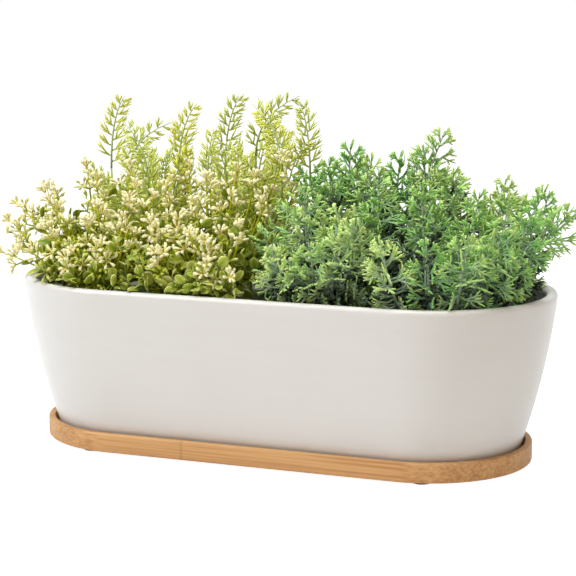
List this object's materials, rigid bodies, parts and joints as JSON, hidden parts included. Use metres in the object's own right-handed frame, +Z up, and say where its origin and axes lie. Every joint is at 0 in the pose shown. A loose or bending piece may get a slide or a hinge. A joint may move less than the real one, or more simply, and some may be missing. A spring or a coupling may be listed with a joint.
{
  "type": "planter of artificial plants",
  "caption": "Glazed oval-ended window-sill pot in a bamboo drip tray on rubber feet, filled with pull-out artificial flower, fern and juniper bushes stuck in a foam block.",
  "frame": {"origin": "on the table, under the middle of the tray", "axes": "+X along the pot to the right as seen from its front, +Y to its back, +Z up"},
  "size_m": [0.3181, 0.1404, 0.187],
  "materials": {
    "glaze": "satin",
    "bamboo": "satin",
    "rubber": "matte",
    "foam": "matte",
    "flower_stem": "satin",
    "leaf": "satin",
    "petal": "matte",
    "fern_stem": "satin",
    "frond": "satin",
    "juniper_stem": "matte",
    "needle": "satin"
  },
  "bodies": {
    "tray": {"bamboo_tray": "bamboo", "foot_front_left": "rubber", "foot_front_right": "rubber", "foot_back_left": "rubber", "foot_back_right": "rubber"},
    "pot": {"ceramic_pot": "glaze", "foam_block": "foam"},
    "flower_left": {"flower_stems_left": "flower_stem", "flower_leaves_left": "leaf", "flower_petals_left": "petal"},
    "flower_middle": {"flower_stems_middle": "flower_stem", "flower_leaves_middle": "leaf", "flower_petals_middle": "petal"},
    "fern_left": {"fern_stems_left": "fern_stem", "fern_fronds_left": "frond"},
    "fern_middle": {"fern_stems_middle": "fern_stem", "fern_fronds_middle": "frond"},
    "juniper_front_middle": {"juniper_stems_front_middle": "juniper_stem", "juniper_sprays_front_middle": "needle"},
    "juniper_front_right": {"juniper_stems_front_right": "juniper_stem", "juniper_sprays_front_right": "needle"},
    "juniper_back_middle": {"juniper_stems_back_middle": "juniper_stem", "juniper_sprays_back_middle": "needle"},
    "juniper_back_right": {"juniper_stems_back_right": "juniper_stem", "juniper_sprays_back_right": "needle"}
  },
  "joints": [
    {"name": "pot_lift", "type": "slide", "parent": "tray", "child": "pot", "axis": [0, 0, 1], "range_m": [0, 0.15]},
    {"name": "flower_left_pull", "type": "slide", "parent": "pot", "child": "flower_left", "axis": [0, 0, 1], "range_m": [0, 0.075]},
    {"name": "flower_middle_pull", "type": "slide", "parent": "pot", "child": "flower_middle", "axis": [0, 0, 1], "range_m": [0, 0.075]},
    {"name": "fern_left_pull", "type": "slide", "parent": "pot", "child": "fern_left", "axis": [0, 0, 1], "range_m": [0, 0.075]},
    {"name": "fern_middle_pull", "type": "slide", "parent": "pot", "child": "fern_middle", "axis": [0, 0, 1], "range_m": [0, 0.075]},
    {"name": "juniper_front_middle_pull", "type": "slide", "parent": "pot", "child": "juniper_front_middle", "axis": [0, 0, 1], "range_m": [0, 0.075]},
    {"name": "juniper_front_right_pull", "type": "slide", "parent": "pot", "child": "juniper_front_right", "axis": [0, 0, 1], "range_m": [0, 0.075]},
    {"name": "juniper_back_middle_pull", "type": "slide", "parent": "pot", "child": "juniper_back_middle", "axis": [0, 0, 1], "range_m": [0, 0.075]},
    {"name": "juniper_back_right_pull", "type": "slide", "parent": "pot", "child": "juniper_back_right", "axis": [0, 0, 1], "range_m": [0, 0.075]}
  ]
}
